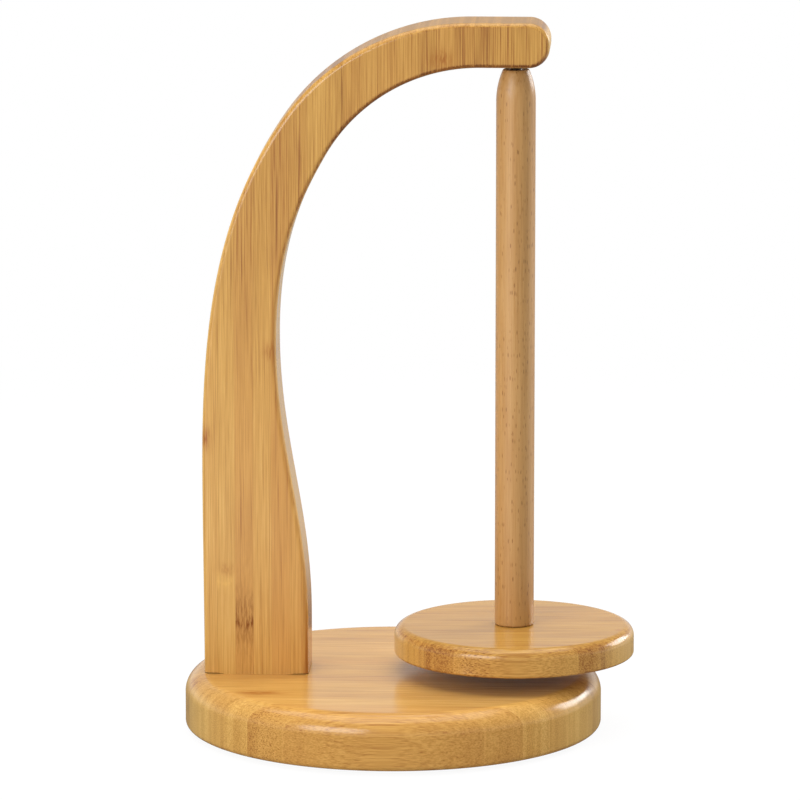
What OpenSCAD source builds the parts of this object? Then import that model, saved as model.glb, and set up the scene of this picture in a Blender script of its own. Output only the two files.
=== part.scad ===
// Yarn spinner: a round base, a hooked arm and a spindle that hangs from a magnet in the arm's tip.
// Millimetres. X runs from the arm to the spindle, Y to the back, Z up. The table is at Z = 0.

/* [Base] */
// Diameter of the base
base_d = 160; // [150:1:180]
// Thickness of the base
base_t = 21; // [19:0.5:28]
// Rounding of the base's top edge
base_top_r = 8; // [4:0.5:9]
// Rounding of the base's lower edge
base_low_r = 2; // [0.5:0.25:3]

/* [Foot pads] */
// Diameter of a pad
pad_d = 14; // [10:1:20]
// Thickness of a pad
pad_t = 1.5; // [1:0.25:3]
// Distance from the base's rim to a pad
pad_inset = 10; // [5:1:16]
// Rounding of a pad's lower edge
pad_edge_r = 0.4; // [0.2:0.1:0.8]

/* [Arm] */
// Height of the arm above the base
arm_h = 251.5; // [230:0.5:290]
// Thickness of the arm from front to back
arm_t = 24; // [20:0.5:32]
// Rounding of the arm's long edges
arm_edge_r = 1.5; // [0.5:0.25:2.5]
// Distance from the base's rim to the back of the arm's foot
arm_inset = 8; // [8:0.5:14]
// Width of the arm's foot
foot_w = 40; // [36:0.5:46]
// Height of the foot's straight edge on the spindle's side
foot_h = 20; // [12:1:30]
// How far the back of the leg swells past the foot
swell = 0.5; // [0:0.25:4]
// Height of the swelling above the base
swell_h = 80; // [60:1:100]
// How far the waist draws in from the front of the foot
waist_in = 12; // [4:0.5:16]
// Height of the waist above the base
waist_h = 129; // [110:1:145]

/* [Hook] */
// Height of the hook's tip, from its underside to its top
tip_h = 17; // [15.5:0.5:22]
// Reach of the tip past the spindle's axis
tip_reach = 13; // [13:0.5:18]
// Corner rounding at the top of the tip
tip_top_r = 7; // [3:0.5:8.5]
// Corner rounding at the bottom of the tip
tip_low_r = 8; // [3:0.5:8]
// Radius of the hook's outer curve
hook_r = 86.5; // [76:0.5:92]
// Radius of the hook's inner curve
hook_in_r = 67; // [58:0.5:72]
// Straight run of the hook's top before the spindle's axis
hook_run = 17; // [10:0.5:24]
// Straight run of the hook's underside before the spindle's axis
hook_in_run = 13.5; // [8:0.5:20]

/* [Spindle] */
// Distance from the base's axis to the spindle's axis
spindle_out = 46.5; // [40:0.5:54]
// Diameter of the rod
rod_d = 15; // [13:0.5:18]
// Diameter of the nose's flat end
nose_d = 10; // [8:0.5:12]
// Length of the nose's convex taper
nose_l = 12; // [6:0.5:20]
// Diameter of the tenon at the rod's foot
tenon_d = 10; // [8:0.5:12]
// Length of the tenon
tenon_l = 5; // [3:0.5:6]

/* [Platter] */
// Diameter of the platter
platter_d = 92; // [70:1:110]
// Thickness of the platter
platter_t = 11; // [9:0.5:14]
// Height at which the platter hangs above the base
hover = 7.2; // [3:0.1:12]
// Rounding of the platter's top edge
platter_top_r = 4; // [2:0.5:5]
// Rounding of the platter's lower edge
platter_low_r = 1; // [0.5:0.25:3]

/* [Pivot] */
// Diameter of the steel ball
ball_d = 5; // [4:0.5:6]
// Height of the ball above the rod's nose
ball_out = 1.6; // [0.8:0.1:2]
// Diameter of the magnet in the rod
rod_magnet_d = 5; // [4:0.5:6]
// Length of the magnet in the rod
rod_magnet_l = 5; // [3:0.5:8]
// Diameter of the magnet in the arm
arm_magnet_d = 10; // [8:0.5:10]
// Thickness of the magnet in the arm
arm_magnet_l = 4; // [3:0.5:6]

/* [Fixings] */
// Diameter of the arm's bolts
bolt_d = 6; // [5:0.5:6]
// Distance between the two bolts
bolt_gap = 20; // [17:0.5:22]
// Depth of the bolt's counterbore in the base
sink_h = 8; // [7:0.5:10]
// Thickness of a washer
washer_t = 1.5; // [1:0.25:2]
// Diameter of a threaded insert
insert_d = 10; // [9:0.5:12]
// Length of a threaded insert
insert_l = 15; // [10:0.5:20]
// Diameter of the platter's screw
screw_d = 4; // [3.5:0.25:5]
// Length of the platter's screw
screw_l = 30; // [20:1:40]

/* [Clearances] */
// Gap around a piece that is glued or screwed into a hole
seat_gap = 0.05; // [0.02:0.01:0.1]
// Gap between the ball and what it runs on
run_gap = 0.1; // [0.05:0.05:0.3]
// Gap around a bolt or screw in its clearance hole
hole_gap = 0.3; // [0.2:0.1:0.5]

/* [Hidden] */
// Steps in a small rounding and in a long curve, sides of a round piece, reach of a cut past a face
round_steps = 8;
curve_steps = 14;
fine = 96;
cut = 0.5;

// Where the base and the spindle stand, with the whole part centred over the origin
base_r = base_d / 2;
platter_r = platter_d / 2;
overhang = max(0, spindle_out + platter_r - base_r);
base_x = -overhang / 2;
spindle_x = base_x + spindle_out;
base_top = pad_t + base_t;

// Heights along the spindle: the ball and the rod's nose hang under the arm, the platter over the base
under_z = base_top + arm_h - tip_h;
ball_z = under_z - run_gap - ball_d / 2;
nose_z = ball_z + ball_d / 2 - ball_out;
platter_z = base_top + hover;
shoulder_z = platter_z + platter_t;

// The rod
rod_r = rod_d / 2;
nose_r = nose_d / 2;
nose_drop = rod_r - nose_r;
nose_arc_r = (nose_l * nose_l + nose_drop * nose_drop) / (2 * nose_drop);
rod_edge = 0.4;
nose_bore_r = max(rod_magnet_d / 2 + seat_gap, ball_d / 2 + run_gap);
rod_magnet_z = ball_z - ball_d / 2 - run_gap - rod_magnet_l;

// The arm's foot, waist and hook, from its base up
foot_back = base_x - base_r + arm_inset;
foot_front = foot_back + foot_w;
swell_x = foot_back - swell;
waist_x = foot_front - waist_in;
tip_x = spindle_x + tip_reach;
arc_x = spindle_x - hook_run;
arc_z = arm_h - hook_r;
arc_in_x = spindle_x - hook_in_run;
arc_in_z = arm_h - tip_h - hook_in_r;
arc_end = 145;
arc_in_end = 150;
back_pull = [0.31, 0.45];
waist_pull = [0.28, 0.48];
foot_pull = 0.38;

// The fixings
bolt_r = bolt_d / 2;
bolt_x = [(foot_back + foot_front - bolt_gap) / 2, (foot_back + foot_front + bolt_gap) / 2];
head_r = bolt_d * 0.85;
head_h = bolt_d * 0.6;
key_r = bolt_d * 0.38;
key_h = head_h * 0.6;
washer_r = bolt_d * 1.05;
sink_r = washer_r + hole_gap * 2;
seat_z = pad_t + sink_h;
bolt_short = 1;
bolt_end = base_top + insert_l - bolt_short;
insert_groove = 0.5;
bolt_room = 4;
screw_r = screw_d / 2;
screw_head_r = screw_d;
screw_point = 4;
cross_w = screw_d * 0.25;
cross_l = screw_d * 1.1;
cross_h = screw_d * 0.3;
pad_ring = base_r - pad_inset - pad_d / 2;
magnet_edge = 0.3;

bamboo = [0.80, 0.58, 0.32];
beech = [0.86, 0.70, 0.52];
steel = [0.62, 0.62, 0.64];
nickel = [0.75, 0.74, 0.70];
brass = [0.80, 0.63, 0.30];
rubber = [0.10, 0.10, 0.10];

// Points on an arc, and on a curve with two pulls
function arc(c, r, a0, a1, n) =
    [for (i = [0:n]) c + r * [cos(a0 + (a1 - a0) * i / n), sin(a0 + (a1 - a0) * i / n)]];
function bend(p, q, s, e, t) =
    pow(1 - t, 3) * p + 3 * t * pow(1 - t, 2) * q + 3 * t * t * (1 - t) * s + pow(t, 3) * e;
function curve(p, q, s, e, n) = [for (i = [0:n]) bend(p, q, s, e, i / n)];

// Half section of a round disc with a rounded rim
function disc(r, t, top_r, low_r) = concat(
    [[0, 0]],
    arc([r - low_r, low_r], low_r, -90, 0, round_steps),
    arc([r - top_r, t - top_r], top_r, 0, 90, round_steps),
    [[0, t]]);

// Edge of the arm seen from the front, clockwise from the back of its foot, height above the base
arc_tip = [arc_x, arc_z] + hook_r * [cos(arc_end), sin(arc_end)];
arc_way = [-sin(arc_end), cos(arc_end)];
arc_drop = arc_tip[1] - swell_h;
in_tip = [arc_in_x, arc_in_z] + hook_in_r * [cos(arc_in_end), sin(arc_in_end)];
in_way = [-sin(arc_in_end), cos(arc_in_end)];
in_drop = in_tip[1] - waist_h;
foot_drop = waist_h - foot_h;

back_low = curve([foot_back, 0], [foot_back, swell_h / 3], [swell_x, swell_h * 2 / 3],
    [swell_x, swell_h], round_steps);
back_high = curve([swell_x, swell_h], [swell_x, swell_h + back_pull[1] * arc_drop],
    arc_tip + back_pull[0] * arc_drop * arc_way, arc_tip, curve_steps);
hook_top = arc([arc_x, arc_z], hook_r, arc_end, 90, curve_steps);
tip_top = arc([tip_x - tip_top_r, arm_h - tip_top_r], tip_top_r, 90, 0, round_steps);
tip_low = arc([tip_x - tip_low_r, arm_h - tip_h + tip_low_r], tip_low_r, 0, -90, round_steps);
hook_low = arc([arc_in_x, arc_in_z], hook_in_r, 90, arc_in_end, curve_steps);
waist = curve(in_tip, in_tip + waist_pull[0] * in_drop * in_way,
    [waist_x, waist_h + waist_pull[1] * in_drop], [waist_x, waist_h], curve_steps);
flare = curve([waist_x, waist_h], [waist_x, waist_h - foot_pull * foot_drop],
    [foot_front, foot_h + foot_pull * foot_drop], [foot_front, foot_h], curve_steps);

function tail(list) = [for (i = [1:len(list) - 1]) list[i]];
edge = concat(back_low, tail(back_high), tail(hook_top), tip_top, tip_low, hook_low,
    tail(waist), tail(flare), [[foot_front, 0]]);
edge_n = len(edge);

// The same edge, moved in by d at right angles to itself; both ends stay on the base
function unit(v) = v / norm(v);
function in_step(i, d) =
    i == 0 ? [d, 0] :
    i == edge_n - 1 ? [-d, 0] :
    let (w = unit(edge[i + 1] - edge[i - 1])) d * [w[1], -w[0]];
function edge_in(d) = [for (i = [0:edge_n - 1]) edge[i] + in_step(i, d)];

// Triangles that fill the edge, taken across the arm from its foot up to its tip
function across(i, j) =
    j - i < 2 ? [] :
    norm(edge[i + 1] - edge[j]) < norm(edge[i] - edge[j - 1]) ?
        concat([[i, i + 1, j]], across(i + 1, j)) :
        concat([[i, j - 1, j]], across(i, j - 1));

// Sections of the arm from front to back: each is its depth and how far its edge is moved in
edge_steps = 4;
front_part = [for (i = [0:edge_steps]) let (a = 90 * i / edge_steps)
    [-arm_t / 2 + arm_edge_r * (1 - cos(a)), arm_edge_r * (1 - sin(a))]];
back_part = [for (i = [edge_steps:-1:0]) [-front_part[i][0], front_part[i][1]]];
sections = concat(front_part, back_part);
section_n = len(sections);

module arm_body() {
    points = [for (s = sections) for (p = edge_in(s[1])) [p[0], s[0], base_top + p[1]]];
    sides = [for (k = [0:section_n - 2]) for (i = [0:edge_n - 1])
        let (j = (i + 1) % edge_n, a = k * edge_n, b = a + edge_n)
        each [[a + i, b + i, b + j], [a + i, b + j, a + j]]];
    last = (section_n - 1) * edge_n;
    front = across(0, edge_n - 1);
    back = [for (f = front) [last + f[2], last + f[1], last + f[0]]];
    polyhedron(points = points, faces = concat(front, back, sides), convexity = 6);
}

module hole(x, z, r, h) {
    translate([x, 0, z]) cylinder(r = r, h = h, $fn = fine);
}

module base() {
    color(bamboo) difference() {
        translate([base_x, 0, pad_t])
            rotate_extrude($fn = fine) polygon(disc(base_r, base_t, base_top_r, base_low_r));
        for (x = bolt_x) {
            hole(x, pad_t - cut, sink_r, sink_h + cut);
            hole(x, pad_t, bolt_r + hole_gap, base_t + cut);
        }
    }
}

module arm() {
    color(bamboo) difference() {
        arm_body();
        for (x = bolt_x) {
            hole(x, base_top - cut, insert_d / 2 + seat_gap, insert_l + cut);
            hole(x, base_top, bolt_r + hole_gap, insert_l + bolt_room);
        }
        hole(spindle_x, under_z - cut, arm_magnet_d / 2 + seat_gap, arm_magnet_l + cut);
    }
}

module bolt(x) {
    color(steel) difference() {
        union() {
            hole(x, seat_z - washer_t - head_h, head_r, head_h);
            hole(x, seat_z - washer_t - cut, bolt_r, bolt_end - seat_z + washer_t + cut);
        }
        translate([x, 0, seat_z - washer_t - head_h - cut])
            cylinder(r = key_r, h = key_h + cut, $fn = 6);
    }
}

module washer(x) {
    color(steel) difference() {
        hole(x, seat_z - washer_t, washer_r, washer_t);
        hole(x, seat_z - washer_t - cut, bolt_r + hole_gap / 2, washer_t + 2 * cut);
    }
}

module insert(x) {
    r = insert_d / 2;
    band = insert_l / 5;
    color(brass) translate([x, 0, base_top]) difference() {
        rotate_extrude($fn = fine) polygon([[0, 0], [r, 0], [r, band], [r - insert_groove, band],
            [r - insert_groove, 2 * band], [r, 2 * band], [r, 3 * band],
            [r - insert_groove, 3 * band], [r - insert_groove, 4 * band], [r, 4 * band],
            [r, insert_l], [0, insert_l]]);
        translate([0, 0, -cut]) cylinder(r = bolt_r + seat_gap, h = insert_l + 2 * cut, $fn = fine);
    }
}

module pad(turn) {
    color(rubber) translate([base_x + pad_ring * cos(turn), pad_ring * sin(turn), 0])
        rotate_extrude($fn = fine) polygon(disc(pad_d / 2, pad_t, pad_edge_r / 2, pad_edge_r));
}

module arm_magnet() {
    color(nickel) translate([spindle_x, 0, under_z])
        rotate_extrude($fn = fine)
            polygon(disc(arm_magnet_d / 2, arm_magnet_l, magnet_edge, magnet_edge));
}

module pivot_ball() {
    color(steel) translate([spindle_x, 0, ball_z]) sphere(d = ball_d, $fn = fine);
}

module rod_magnet() {
    color(nickel) translate([spindle_x, 0, rod_magnet_z])
        rotate_extrude($fn = fine)
            polygon(disc(rod_magnet_d / 2, rod_magnet_l, magnet_edge, magnet_edge));
}

module spindle_rod() {
    nose = [for (i = [0:round_steps]) let (h = nose_l * i / round_steps)
        [rod_r - nose_arc_r + sqrt(nose_arc_r * nose_arc_r - h * h), nose_z - nose_l + h]];
    color(beech) difference() {
        translate([spindle_x, 0, 0]) rotate_extrude($fn = fine) polygon(concat(
            [[0, shoulder_z - tenon_l], [tenon_d / 2, shoulder_z - tenon_l],
                [tenon_d / 2, shoulder_z], [rod_r - rod_edge, shoulder_z],
                [rod_r, shoulder_z + rod_edge]],
            nose, [[0, nose_z]]));
        hole(spindle_x, rod_magnet_z, nose_bore_r, nose_z - rod_magnet_z + cut);
        hole(spindle_x, shoulder_z - tenon_l - cut, screw_r + seat_gap,
            platter_z + screw_l - shoulder_z + tenon_l + 2 * cut);
    }
}

module platter() {
    color(bamboo) difference() {
        translate([spindle_x, 0, platter_z]) rotate_extrude($fn = fine)
            polygon(disc(platter_r, platter_t, platter_top_r, platter_low_r));
        hole(spindle_x, shoulder_z - tenon_l, tenon_d / 2 + seat_gap, tenon_l + cut);
        hole(spindle_x, platter_z - cut, screw_r + hole_gap, platter_t);
        translate([spindle_x, 0, platter_z - cut]) cylinder(r1 = screw_head_r + seat_gap + cut,
            r2 = screw_r + seat_gap, h = screw_head_r - screw_r + cut, $fn = fine);
    }
}

module platter_screw() {
    color(steel) translate([spindle_x, 0, platter_z]) difference() {
        rotate_extrude($fn = fine) polygon([[0, 0], [screw_head_r, 0],
            [screw_r, screw_head_r - screw_r], [screw_r, screw_l - screw_point],
            [0, screw_l]]);
        for (turn = [0, 90])
            rotate([0, 0, turn]) translate([-cross_l / 2, -cross_w / 2, -cut])
                cube([cross_l, cross_w, cross_h + cut]);
    }
}

base();
arm();
bolt(bolt_x[0]);  // arm_bolt_back
bolt(bolt_x[1]);  // arm_bolt_front
washer(bolt_x[0]);  // arm_washer_back
washer(bolt_x[1]);  // arm_washer_front
insert(bolt_x[0]);  // arm_insert_back
insert(bolt_x[1]);  // arm_insert_front
pad(225);  // pad_front_left
pad(315);  // pad_front_right
pad(135);  // pad_rear_left
pad(45);  // pad_rear_right
arm_magnet();
pivot_ball();
rod_magnet();
spindle_rod();
platter();
platter_screw();
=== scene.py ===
# %% [markdown]
# # A hanging yarn spinner
#
# A round bamboo base carries a bamboo arm that bends over it like a hook. A beech rod with a
# bamboo platter hangs from the arm's tip: a steel ball sits between two magnets, so a ball of
# yarn on the rod turns almost without friction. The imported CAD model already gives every
# piece its place. This lesson gives the pieces finer shapes and real finishes.

import math
from dataclasses import dataclass, fields
from typing import NamedTuple

import bmesh
import bpy
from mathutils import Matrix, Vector


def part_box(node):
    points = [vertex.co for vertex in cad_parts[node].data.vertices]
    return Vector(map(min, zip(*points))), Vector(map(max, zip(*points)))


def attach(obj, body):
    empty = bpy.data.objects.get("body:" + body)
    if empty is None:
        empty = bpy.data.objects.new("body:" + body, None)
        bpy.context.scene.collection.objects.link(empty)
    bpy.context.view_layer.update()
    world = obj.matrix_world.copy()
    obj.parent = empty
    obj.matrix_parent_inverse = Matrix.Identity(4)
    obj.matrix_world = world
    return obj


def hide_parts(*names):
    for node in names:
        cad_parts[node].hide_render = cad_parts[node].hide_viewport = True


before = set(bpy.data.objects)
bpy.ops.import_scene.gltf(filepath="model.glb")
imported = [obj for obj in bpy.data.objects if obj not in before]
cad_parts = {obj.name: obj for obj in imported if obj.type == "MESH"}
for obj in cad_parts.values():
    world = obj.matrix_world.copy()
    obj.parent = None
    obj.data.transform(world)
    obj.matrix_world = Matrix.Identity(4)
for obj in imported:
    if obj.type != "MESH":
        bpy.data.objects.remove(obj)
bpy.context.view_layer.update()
scene = bpy.context.scene
scene.view_settings.view_transform = "Standard"
print("CAD nodes:", ", ".join(sorted(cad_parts)))

# %% [markdown]
# ## The camera
#
# The photograph was taken from the front, about eleven degrees above level and three degrees
# round to the right, where the arm's inner side just shows as a pale line. The lens is long and
# far away: the two sides of the base look almost equally large. A short lens close by would show
# more of the top and stretch the hook, so the distance matters as much as the angle.

# %% Stand the camera in front
SENSOR_MM = 36
LENS_MM = 271.56
CAMERA_PLACE = (0.10975, -2.26224, 0.55445)  # metres
VIEW_DOWN = 0.1862  # radians
VIEW_TURN = math.radians(2.87)

camera_data = bpy.data.cameras.new("camera")
camera_data.sensor_width = SENSOR_MM
camera_data.lens = LENS_MM
camera = bpy.data.objects.new("camera", camera_data)
camera.location = CAMERA_PLACE
camera.rotation_euler = (math.pi / 2 - VIEW_DOWN, 0, VIEW_TURN)
scene.collection.objects.link(camera)
scene.camera = camera
print("camera", round(camera.location.length, 2), "m from the table's middle")

# %% [markdown]
# ## Writing nodes as sums
#
# Every finish below is a chain of shader nodes. Placing them one by one makes long scripts, so
# helpers do the wiring: one adds any node and fills its sockets, three do sums, and one moves a
# value between ranges. A socket takes a plain number or the result of an earlier node.

# %% Helpers for nodes
def add_node(tree, kind, sockets=None, **settings):
    """Adds a node; sockets maps a name or number to a value or to another node's output."""
    made = tree.nodes.new(kind)
    for name, value in settings.items():
        setattr(made, name, value)
    for socket, value in (sockets or {}).items():
        if isinstance(value, bpy.types.NodeSocket):
            tree.links.new(value, made.inputs[socket])
        else:
            made.inputs[socket].default_value = value
    return made


def calc(tree, operation, a, b=0.0, c=0.0):
    """One sum on numbers or sockets, such as SUBTRACT or MAXIMUM."""
    return add_node(tree, "ShaderNodeMath", {0: a, 1: b, 2: c}, operation=operation).outputs[0]


def times(tree, a, b):
    """One number or socket times another."""
    return calc(tree, "MULTIPLY", a, b)


def added(tree, total, part, share):
    """A total with a share of some part laid on top of it."""
    return calc(tree, "MULTIPLY_ADD", part, share, total)


def remap(tree, value, low, high, to_low=0.0, to_high=1.0):
    """Moves a value from one range to another with soft ends."""
    return add_node(
        tree, "ShaderNodeMapRange", {0: value, 1: low, 2: high, 3: to_low, 4: to_high},
        interpolation_type="SMOOTHSTEP",
    ).outputs[0]


print("node helpers ready")

# %% [markdown]
# ## White surroundings
#
# A product photograph stands on white with hardly a trace of a floor. Making the lamps stronger
# until the floor burns out would burn out the object too. Instead the world and the floor look
# white to the camera and pale to reflections, and light the object at a plain level. Higher up
# the studio is darker, which gives the varnish something to reflect besides white.

# %% Tell apart what is seen and what only lights
def seen_rays(tree):
    """Two switches: 1 for rays from the camera, and 1 for rays from gloss or through glass."""
    ray = add_node(tree, "ShaderNodeLightPath").outputs
    mirrored = calc(tree, "MAXIMUM", ray["Is Glossy Ray"], ray["Is Transmission Ray"])
    return ray["Is Camera Ray"], mirrored


def ramp(tree, value, stops):
    """A colour that changes along a value; stops are (place, colour)."""
    made = add_node(tree, "ShaderNodeValToRGB", {0: value})
    marks = made.color_ramp.elements
    marks[0].position, marks[0].color = stops[0]
    marks[1].position, marks[1].color = stops[-1]
    for place, colour in stops[1:-1]:
        marks.new(place).color = colour
    return made.outputs[0]


def grey(level):
    return (level, level, level, 1)


print("white is", grey(1.0))

# %% A world that is white to look at and grey to light with
WALL_LEVELS = [(0.0, 1.0), (0.08, 0.92), (0.25, 0.60), (0.6, 0.15)]  # height, brightness
CEILING_LEVELS = [(0.2, 0.02), (0.75, 1.0)]

world = bpy.data.worlds.new("white_studio")
world.use_nodes = True
scene.world = world
sky = world.node_tree
sky.nodes.clear()
looking = add_node(sky, "ShaderNodeTexCoord").outputs["Generated"]
upward = add_node(sky, "ShaderNodeSeparateXYZ", {0: looking}).outputs[2]
walls = ramp(sky, upward, [(height, grey(level)) for height, level in WALL_LEVELS])
ceiling = ramp(sky, upward, [(height, grey(level)) for height, level in CEILING_LEVELS])
from_camera, mirrored = seen_rays(sky)
light, gloss, white = (
    add_node(sky, "ShaderNodeBackground", {"Color": colour}).outputs[0]
    for colour in (ceiling, walls, grey(1.0))
)
unseen = add_node(sky, "ShaderNodeMixShader", {0: mirrored, 1: light, 2: gloss}).outputs[0]
whole = add_node(sky, "ShaderNodeMixShader", {0: from_camera, 1: unseen, 2: white}).outputs[0]
add_node(sky, "ShaderNodeOutputWorld", {0: whole})
print("world nodes", len(sky.nodes))

# %% [markdown]
# The floor is one large sheet of pale paper. Upright faces mirror it: it is dim close to the
# base and bright in two strips where a lamp shines on it. A floor that is simply white would
# put the same flat glare on every side of the wood, so these strips are worth their nodes.

# %% Lay the floor
FLOOR_HALF = 6  # metres

floor_mesh = bpy.data.meshes.new("floor")
shape = bmesh.new()
bmesh.ops.create_grid(shape, x_segments=1, y_segments=1, size=FLOOR_HALF)
shape.to_mesh(floor_mesh)
shape.free()
floor = bpy.data.objects.new("floor", floor_mesh)
scene.collection.objects.link(floor)
print("floor", tuple(round(d, 1) for d in floor.dimensions), "m")

# %% Two bright strips for the reflections
BEAM_EDGES = (0.86, 0.99)  # cosine of the angle to its middle: the edge, and full light
BEAM_START = (0.15, 0.4)  # metres from the middle of the floor
FRONT_BEAM, FRONT_LIGHT = (-0.545, -0.839, 0), 1.6
RIGHT_BEAM, RIGHT_LIGHT = (0.970, 0.242, 0), 1.0

floor_finish = bpy.data.materials.new("pale_floor")
floor_finish.use_nodes = True
paint = floor_finish.node_tree
paint.nodes.clear()
place = add_node(paint, "ShaderNodeTexCoord").outputs["Object"]
away = add_node(paint, "ShaderNodeVectorMath", {0: place}, operation="LENGTH").outputs[1]
heading = add_node(paint, "ShaderNodeVectorMath", {0: place}, operation="NORMALIZE").outputs[0]


def lit_strip(way, strength):
    """The part of the floor that a lamp in the direction `way` makes bright in reflections."""
    sockets = {0: heading, 1: way}
    beam = add_node(paint, "ShaderNodeVectorMath", sockets, operation="DOT_PRODUCT").outputs[1]
    beam = remap(paint, beam, *BEAM_EDGES, 0.0, strength)
    return times(paint, beam, remap(paint, away, *BEAM_START))


lit = calc(paint, "ADD", lit_strip(FRONT_BEAM, FRONT_LIGHT), lit_strip(RIGHT_BEAM, RIGHT_LIGHT))
print("strips on the floor start", BEAM_START[0], "m from its middle")

# %% A pale finish that keeps a soft shadow
DIM_REACH = (0.12, 0.45)  # metres over which the dim floor near the base grows brighter
DIM_LEVELS = (0.15, 0.5)
SHADOW_REACH = (0.25, 0.8)  # metres over which the shadow that the camera sees dies away
GLOW_SHARE = (0.94, 1.0)
PAPER = 0.5

from_camera, mirrored = seen_rays(paint)
dim = calc(paint, "ADD", remap(paint, away, *DIM_REACH, *DIM_LEVELS), lit)
seen = calc(paint, "MAXIMUM", from_camera, times(paint, mirrored, dim))
pale = added(paint, PAPER, from_camera, 1.0 - PAPER)
matt = add_node(paint, "ShaderNodeBsdfDiffuse", {"Color": pale}).outputs[0]
glow = add_node(paint, "ShaderNodeEmission", {"Color": seen}).outputs[0]
share = added(paint, mirrored, from_camera, remap(paint, away, *SHADOW_REACH, *GLOW_SHARE))
floor_mix = add_node(paint, "ShaderNodeMixShader", {0: share, 1: matt, 2: glow}).outputs[0]
add_node(paint, "ShaderNodeOutputMaterial", {0: floor_mix})
floor_mesh.materials.append(floor_finish)
print("floor nodes", len(paint.nodes))

# %% [markdown]
# ## Soft boxes
#
# The varnish shows where the lamps stood. A low soft box at the front left makes the short
# bright patch on the base's rim, a long one overhead makes the band above it and, with a
# painted highlight on the arm's upper edges, the bright line along the hook, and a low one
# behind on the right gives the bright spots at the right ends of both discs. Mirroring the
# view in the rim's rounding tells each lamp's direction.

# %% Hang three soft boxes round the object
AIM = Vector((0, 0, 0.10))


def soft_box(name, way, distance, width, height, power):
    """A rectangular lamp that stands in the direction `way` and looks at the object."""
    lamp = bpy.data.lights.new(name, "AREA")
    lamp.shape = "RECTANGLE"
    lamp.size = width
    lamp.size_y = height
    lamp.energy = power
    box = bpy.data.objects.new(name, lamp)
    toward = Vector(way).normalized()
    box.location = AIM + toward * distance
    box.rotation_euler = toward.to_track_quat("Z", "Y").to_euler()
    scene.collection.objects.link(box)
    print(name, power, "W")


soft_box("box_front_left", (-0.495, -0.819, 0.292), distance=1.6, width=0.98, height=0.68, power=13)
soft_box("box_overhead", (-0.04, 0.08, 0.99), distance=2.2, width=2.5, height=2.3, power=39)
soft_box("box_back_right", (0.755, 0.587, 0.292), distance=1.6, width=0.92, height=0.56, power=13)

# %% [markdown]
# ## Turning round pieces
#
# The base, the platter and the rod are turned: one half section goes once round an upright
# axis. A ready-made cylinder with a bevel could pass for them, but the base's rim has a wide
# rounding above and a narrow one below, and the rod's nose is a true arc, so the section is
# drawn point by point, with arcs, and spun by a small helper.

# %% Helpers for drawing and turning a section
MM = 0.001


def arc(x, z, radius, start, end, steps):
    """Points on a round, from one angle to another in degrees."""
    angles = [math.radians(start + (end - start) * i / steps) for i in range(steps + 1)]
    return [Vector((x + radius * math.cos(a), z + radius * math.sin(a))) for a in angles]


def make_piece(name, shape):
    """Turns a bmesh into an object with outward normals."""
    bmesh.ops.recalc_face_normals(shape, faces=shape.faces)
    mesh = bpy.data.meshes.new(name)
    shape.to_mesh(mesh)
    shape.free()
    piece = bpy.data.objects.new(name, mesh)
    scene.collection.objects.link(piece)
    return piece


def turned(name, section, axis_x, sides, closed=False):
    """Spins points of (radius, height), in millimetres, round an upright axis at axis_x."""
    shape = bmesh.new()
    rings = []
    for radius, height in section:
        on_axis = radius <= 1e-6
        turns = [2 * math.pi * i / sides for i in range(1 if on_axis else sides)]
        rings.append([
            shape.verts.new((
                (axis_x + radius * math.cos(t)) * MM, radius * math.sin(t) * MM, height * MM,
            ))
            for t in turns
        ])
    pairs = list(zip(rings, rings[1:]))
    if closed:
        pairs.append((rings[-1], rings[0]))
    for low, high in pairs:
        for i in range(sides):
            j = (i + 1) % sides
            corners = [low[i % len(low)], low[j % len(low)], high[j % len(high)], high[i % len(high)]]
            corners = list(dict.fromkeys(corners))
            if len(corners) > 2:
                shape.faces.new(corners)
    return make_piece(name, shape)


print("one millimetre is", MM, "m")

# %% [markdown]
# Holes are drilled after the outer shape stands, just as in the workshop. A Boolean modifier
# does that; its result is kept as the piece's mesh so that no cutter stays in the scene. Last,
# sharp corners are marked by angle, and weighted normals keep the wide flat faces truly flat
# where a rounding runs into them.

# %% Helpers for drilling and smoothing
BIT_SIDES = 64
SHARP_ANGLE = math.radians(35)


def keep_result(piece):
    """Replaces a piece's mesh by what its modifiers make of it."""
    bpy.context.view_layer.update()
    graph = bpy.context.evaluated_depsgraph_get()
    mesh = bpy.data.meshes.new_from_object(piece.evaluated_get(graph))
    piece.modifiers.clear()
    piece.data = mesh


def drill(piece, x, low, high, radius):
    """Cuts an upright round hole, in millimetres, and throws the cutter away."""
    bit = turned("bit", [(0, low), (radius, low), (radius, high), (0, high)], x, BIT_SIDES)
    hole = piece.modifiers.new("hole", "BOOLEAN")
    hole.operation = "DIFFERENCE"
    hole.solver = "EXACT"
    hole.object = bit
    keep_result(piece)
    bpy.data.objects.remove(bit, do_unlink=True)


def smooth(piece):
    """Smooth faces, with corners over the sharp angle kept."""
    piece.data.polygons.foreach_set("use_smooth", [True] * len(piece.data.polygons))
    piece.data.set_sharp_from_angle(angle=SHARP_ANGLE)
    flat = piece.modifiers.new("flat_faces", "WEIGHTED_NORMAL")
    flat.keep_sharp = True
    print(piece.name, len(piece.data.polygons), "faces")


print("drill and smoother ready")

# %% [markdown]
# ## The base
#
# A thick disc of bamboo strips glued side by side. Its top edge is worn round by a big router
# bit and its lower edge is only broken. Two bolts come up from below and hold the arm, so the
# underside has two counterbored holes. The box of the CAD node gives the disc's place.

# %% Turn and drill the base
DISC_SIDES = 256
BASE_TOP_R, BASE_LOW_R = 8, 2
BOLT_PLACES = (-68.25, -48.25)
HEAD_R, HEAD_DEPTH, SHANK_R = 6.9, 8, 3.3
OVERLAP = 1  # how far a drill runs past the end of a hole

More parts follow.
